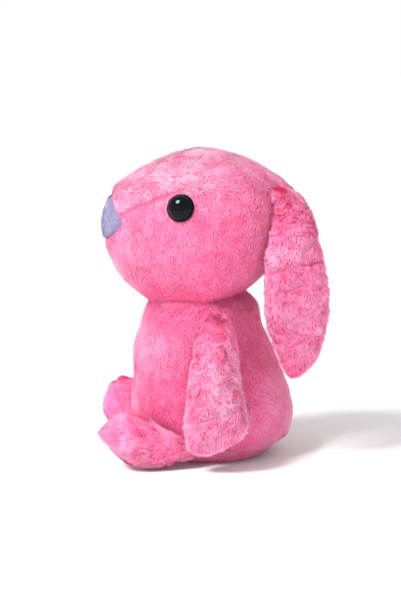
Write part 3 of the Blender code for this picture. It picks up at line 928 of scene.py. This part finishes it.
def dress_head(skin):
    def keep(p):
        return np.where(near_eyes(p) < EYE_RADIUS - 1.2 * MM, 0.0, 1.0)

    look = {**HEAD_LOOK, "keep": keep}
    dress(skin, CROWN, "head_crown_panel", "head", (0, 0, 1), look, 1)
    dress(skin, LEFT_CHEEK, "head_left_panel", "head", (1, 0, 0), look, 2)
    dress(skin, RIGHT_CHEEK, "head_right_panel", "head", (-1, 0, 0), look, 3)
    dress(skin, NOSE, "nose_patch", "head", (0, -1, 0), NOSE_LOOK, 4, ground=LILAC_GROUND,
          pile_paint=LILAC_PILE)


def eye_profile():
    """Radius and height from the top of the dome to the underside of its flange."""
    dome = []
    steps = 24
    for i in range(steps + 1):
        a = math.radians(90 * (1 - i / steps))
        dome.append((0.9 * EYE_RADIUS * math.cos(a), EYE_FLANGE_HEIGHT + EYE_DOME_HEIGHT * math.sin(a)))
    flange = [(0.93, 0.55), (0.96, 0.75), (0.985, 0.7), (1.0, 0.35), (1.0, -0.6), (0.9, -1.6), (0.2, -2.6)]
    return dome + [(r * EYE_RADIUS, h * MM) for r, h in flange] + [(0, -EYE_DEPTH)]


def make_eyes():
    for word, side in SIDES:
        seat, direction = eye_seat(side)
        bm = bmesh.new()
        verts = [bm.verts.new((r, 0, h)) for r, h in eye_profile()]
        edges = [bm.edges.new(pair) for pair in zip(verts, verts[1:])]
        bmesh.ops.spin(bm, geom=verts + edges, cent=(0, 0, 0), axis=(0, 0, 1), steps=64,
                       angle=2 * math.pi)
        bmesh.ops.remove_doubles(bm, verts=bm.verts, dist=0.01 * MM)
        bmesh.ops.recalc_face_normals(bm, faces=bm.faces)
        turn = direction.to_track_quat("Z", "Y").to_matrix().to_4x4()
        bmesh.ops.transform(bm, matrix=Matrix.Translation(seat) @ turn, verts=bm.verts)
        mesh = bpy.data.meshes.new(f"eye_{word}_dome")
        bm.to_mesh(mesh)
        bm.free()
        mesh.shade_smooth()
        eye = object_of(f"eye_{word}_dome", mesh, EYE_BLACK)
        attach(eye, "head")
        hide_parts(f"eye_{word}")


# The torso

def torso_lie(p, n):
    move = 0.6 * MM * fractal(p, 26 * MM, 2, 6) + 0.2 * MM * fractal(p, 5 * MM, 2, 7)
    front = np.clip(-n[:, 1], 0, 1)
    move += 2.6 * MM * front * bump(p[:, 2] - 84 * MM, 15 * MM)
    move += 2.2 * MM * np.clip(n[:, 1], 0, 1) * bump(p[:, 2] - 30 * MM, 26 * MM)
    shoulder = np.hypot(p[:, 1] - 3 * MM, 0.8 * (p[:, 2] - 106 * MM))
    move += 3.5 * MM * np.abs(n[:, 0]) * bump(shoulder, 13 * MM)
    return move + swell(np.abs(p[:, 0]), 0.6 * MM, 1.6 * MM)


def torso_skin():
    rows = torso_rows()
    bm = grid_mesh(rows, "Z", TORSO_POWER, SKIN_STEP, low=where(rows, TORSO_CUT[0]),
                   high=where(rows, TORSO_CUT[1]), close_low=False, close_high=False)

    def held(p):
        ends = (p[:, 2] < TORSO_HEM) | (p[:, 2] > TORSO_RIM)
        return np.where(ends, 1, 0.4 * bump(p[:, 0], 1.2 * MM))

    return Skin(bm, PILE_DEPTH, torso_lie, lambda p: np.where(p[:, 0] > 0, LEFT, RIGHT),
                lambda p: np.abs(p[:, 0]), held, *TORSO_PLAY)


def dress_torso(skin):
    look = {**TORSO_LOOK, "keep": lambda p: np.where(p[:, 2] > TORSO_BARE, 0.1, 1.0)}
    dress(skin, LEFT, "torso_left_panel", "torso", (1, 0, 0), look, 5)
    dress(skin, RIGHT, "torso_right_panel", "torso", (-1, 0, 0), look, 6)
    make_base()


def make_base():
    """The flat oval under the torso."""
    low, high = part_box("base_panel")
    middle = [(a + b) / 2 for a, b in zip(low, high)]
    half = [(b - a) / 2 for a, b in zip(low, high)]
    bm = bmesh.new()
    bmesh.ops.create_circle(bm, cap_ends=True, segments=64, radius=1)
    inset = bmesh.ops.inset_individual(bm, faces=bm.faces, thickness=0.06)
    bmesh.ops.poke(bm, faces=inset["faces"])
    bmesh.ops.subdivide_edges(bm, edges=bm.edges, cuts=3, use_grid_fill=True)
    bmesh.ops.scale(bm, vec=(half[0], half[1], 1), verts=bm.verts)
    bmesh.ops.translate(bm, vec=(middle[0], middle[1], high[2]), verts=bm.verts)
    points, corners, sizes = mesh_arrays(bm)
    mesh = mesh_of("base_panel_skin", points, corners, sizes)
    add_uv(mesh, (points[:, :2] / 0.09 + 0.5)[corners])
    base = object_of("base_panel_skin", mesh, PINK_GROUND)
    wall = base.modifiers.new("fabric", "SOLIDIFY")
    wall.thickness = high[2] - low[2] - 0.1 * MM
    wall.offset = -1
    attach(base, "torso")
    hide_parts("base_panel")


# Ears and arms, which hang down Z, and legs, which lie along Y

def middle_x(rows, p):
    """The form's middle surface: its X at the points' heights."""
    z, x = np.array([(row[0], row[1]) for row in rows[::-1]]).T * MM
    return np.interp(p[:, 2], z, x)


def edge_seam(rows):
    """Distance to the seam that runs round the form's edge, where the middle surface meets it."""
    def seam(p):
        y_low, y_high = (np.interp(p[:, 2] / MM, [r[0] for r in rows[::-1]],
                                   [r[2] + sign * r[4] for r in rows[::-1]]) * MM for sign in (-1, 1))
        to_edge = np.minimum(np.abs(p[:, 1] - y_low), np.abs(p[:, 1] - y_high))
        return np.hypot(np.abs(p[:, 0]) - middle_x(rows, p), 0.6 * to_edge)
    return seam


def ear_lie(seed):
    """How far an ear's cover stands out from its form: creases where the photo shows them, and tufts."""
    def lie(p, n):
        move = 0.8 * MM * fractal(p, 17 * MM, 2, seed) + 0.6 * MM * fractal(p, 5 * MM, 2, seed + 2)
        folds = crease(p, (33, 141), (60, 148), 1.8 * MM, 3.2 * MM, 31)
        folds += crease(p, (60, 147), (84, 152), 2.0 * MM, 2.8 * MM, 36)
        folds += crease(p, (62, 111), (82, 119), 1.0 * MM, 2.4 * MM, 33)
        folds += crease(p, (50, 128), (68, 134), 0.9 * MM, 2.6 * MM, 32)
        folds += crease(p, (56, 90), (72, 99), 0.8 * MM, 2.4 * MM, 34)
        return move + folds
    return lie


def arm_lie(seed):
    """The same for an arm."""
    def lie(p, n):
        move = 0.5 * MM * fractal(p, 18 * MM, 2, seed) + 0.35 * MM * fractal(p, 4.5 * MM, 2, seed + 2)
        folds = crease(p, (-15, 38), (14, 47), 1.5 * MM, 2.2 * MM, 51)
        folds += crease(p, (2, 58), (22, 66), 1.0 * MM, 2.2 * MM, 52)
        folds += crease(p, (-8, 92), (12, 96), 1.0 * MM, 2.2 * MM, 53)
        return move + folds
    return lie


def limb_skin(rows, side, lie, play):
    """The skin of an ear or an arm, held at its root and a little at its seam."""
    bm = grid_mesh(rows, "Z", LIMB_POWER, LIMB_STEP, side)
    seam = edge_seam(rows)
    root = rows[0][0] * MM

    def held(p):
        return np.where(p[:, 2] > root - 8 * MM, 1, 0.35 * bump(seam(p), 1.2 * MM))

    def panel_of(p):
        return np.where(np.abs(p[:, 0]) > middle_x(rows, p), OUTER, INNER)

    return Skin(bm, LIMB_PILE_DEPTH, lie, panel_of, seam, held, *play)


def dress_limb(skin, kind, word, side, parent, hinge, look, seed):
    start = (side * hinge.x, hinge.y, hinge.z + LIMB_BEND[0])
    end = (side * hinge.x, hinge.y, hinge.z - LIMB_BEND[1])
    bend = (parent, f"{kind}_{word}", start, end)
    for panel, panel_word, way in ((OUTER, "outer", side), (INNER, "inner", -side)):
        dress(skin, panel, f"{kind}_{word}_{panel_word}_panel", None, (way, 0, 0), look, seed + panel,
              blend=bend)


# A point in each sole's seam, in millimetres, and the way the sole faces
SOLES = {"left": ((53, -72, 15), (0, -0.56, -0.83)), "right": ((-51, -66, 23), (0, -0.93, -0.37))}


def above_sole(word):
    """Distance to the plane of the sole's seam, above zero on the sole."""
    point, normal = SOLES[word]
    way = np.array(normal) / np.linalg.norm(normal)
    at = np.array(point) * MM
    return lambda p: (p - at) @ way


def leg_skin(word, side, rows):
    past = above_sole(word)
    bm = grid_mesh(rows, "Y", LIMB_POWER, LIMB_STEP, side)
    cut_along(bm, past)

    def lie(p, n):
        move = 0.7 * MM * fractal(p, 17 * MM, 2, 61 + side) + 0.3 * MM * fractal(p, 4.5 * MM, 2, 63)
        if side > 0:
            move -= 1.8 * MM * patch(p, (69, -67, 25), 5.5 * MM)
            move += 0.9 * MM * bump(p[:, 1] + 60 * MM, 3 * MM) * ramp_between(p[:, 2], 12 * MM, 20 * MM)
        return move + swell(np.abs(past(p)), 0.6 * MM, 1.3 * MM)

    def held(p):
        root = p[:, 1] > -22 * MM
        floor = p[:, 2] < 4 * MM
        return np.where(root | floor, 1, 0.35 * bump(past(p), 1.2 * MM))

    return Skin(bm, LIMB_PILE_DEPTH, lie, lambda p: np.where(past(p) > 0, SOLE, UPPER),
                lambda p: np.abs(past(p)), held, *LEG_PLAY)


def dress_leg(skin, word, side):
    start = (side * LEG_HINGE.x, LEG_HINGE.y + LEG_BEND[0], LEG_HINGE.z)
    end = (side * LEG_HINGE.x, LEG_HINGE.y - LEG_BEND[1], LEG_HINGE.z)
    bend = ("torso", f"leg_{word}", start, end)
    dress(skin, SOLE, f"leg_{word}_sole", None, SOLES[word][1], LEG_LOOK, 30 + side, blend=bend)
    dress(skin, UPPER, f"leg_{word}_upper", None, (side * 0.5, 0.2, 0.9), LEG_LOOK, 33 + side, blend=bend)


def make_covers():
    """All the skins, settled together, and then their pile."""
    skins = {"head": head_skin(), "torso": torso_skin()}
    top, fall = RIGHT_EAR_FALL
    right_ear = [(z, x, y + RIGHT_EAR_BACK * min(1, max(0, top - z) / fall), half_x, half_y)
                 for z, x, y, half_x, half_y in EAR]
    for word, side in SIDES:
        ear = EAR if side > 0 else right_ear
        skins[f"ear_{word}"] = limb_skin(ear, side, ear_lie(21 + side), EAR_PLAY)
        skins[f"arm_{word}"] = limb_skin(ARM, side, arm_lie(41 + side), ARM_PLAY)
        skins[f"leg_{word}"] = leg_skin(word, side, LEG_LEFT if side > 0 else LEG_RIGHT)
    settle(skins.values())
    dress_head(skins["head"])
    dress_torso(skins["torso"])
    for word, side in SIDES:
        dress_limb(skins[f"ear_{word}"], "ear", word, side, "head", EAR_HINGE, EAR_LOOK, 10 + 2 * side)
        dress_limb(skins[f"arm_{word}"], "arm", word, side, "torso", ARM_HINGE, ARM_LOOK, 20 + 2 * side)
        dress_leg(skins[f"leg_{word}"], word, side)


# Floor, light and camera

def make_stage():
    bm = bmesh.new()
    bmesh.ops.create_grid(bm, x_segments=8, y_segments=8, size=FLOOR_SIZE)
    mesh = bpy.data.meshes.new("floor")
    bm.to_mesh(mesh)
    bm.free()
    material, _, shader = nodes_of("pale floor")
    shader.inputs["Base Color"].default_value = (0.9, 0.9, 0.9, 1)
    shader.inputs["Roughness"].default_value = 0.8
    shader.inputs["Specular IOR Level"].default_value = 0.1
    floor = object_of("floor", mesh, material)
    floor.location.z = -FLOOR_DROP

    bm = bmesh.new()
    bmesh.ops.create_cone(bm, cap_ends=False, segments=96, radius1=BACKDROP_RADIUS,
                          radius2=BACKDROP_RADIUS, depth=BACKDROP_HEIGHT)
    mesh = bpy.data.meshes.new("backdrop")
    bm.to_mesh(mesh)
    bm.free()
    material, _, shader = nodes_of("pale backdrop")
    shader.inputs["Base Color"].default_value = (0, 0, 0, 1)
    shader.inputs["Specular IOR Level"].default_value = 0
    shader.inputs["Emission Color"].default_value = (1, 1, 1, 1)
    shader.inputs["Emission Strength"].default_value = 1.0
    backdrop = object_of("backdrop", mesh, material)
    backdrop.location.z = BACKDROP_HEIGHT / 2


def sun(name, towards, strength, angle):
    light = bpy.data.lights.new(name, "SUN")
    light.energy = strength
    light.angle = math.radians(angle)
    item = bpy.data.objects.new(name, light)
    item.rotation_mode = "QUATERNION"
    item.rotation_quaternion = Vector(towards).to_track_quat("Z", "Y")
    bpy.context.scene.collection.objects.link(item)


def make_light():
    world = bpy.data.worlds.new("studio")
    bpy.context.scene.world = world
    world.use_nodes = True
    background = world.node_tree.nodes["Background"]
    background.inputs["Color"].default_value = (1, 1, 1, 1)
    background.inputs["Strength"].default_value = WORLD_STRENGTH
    sun("key", KEY_TOWARDS, KEY_STRENGTH, KEY_ANGLE)
    bpy.context.scene.view_settings.view_transform = "Standard"


def make_camera():
    data = bpy.data.cameras.new("camera")
    data.lens = LENS
    data.sensor_width = SENSOR
    data.clip_end = 100
    camera = bpy.data.objects.new("camera", data)
    bpy.context.scene.collection.objects.link(camera)
    away = Vector((math.cos(VIEW_ELEVATION), 0, math.sin(VIEW_ELEVATION)))
    camera.location = VIEW_TARGET + away * (VIEW_HEIGHT * LENS / SENSOR)
    camera.rotation_mode = "QUATERNION"
    camera.rotation_quaternion = away.to_track_quat("Z", "Y")
    bpy.context.scene.camera = camera


make_camera()
make_stage()
make_light()
make_covers()
make_eyes()
stuff_everything()
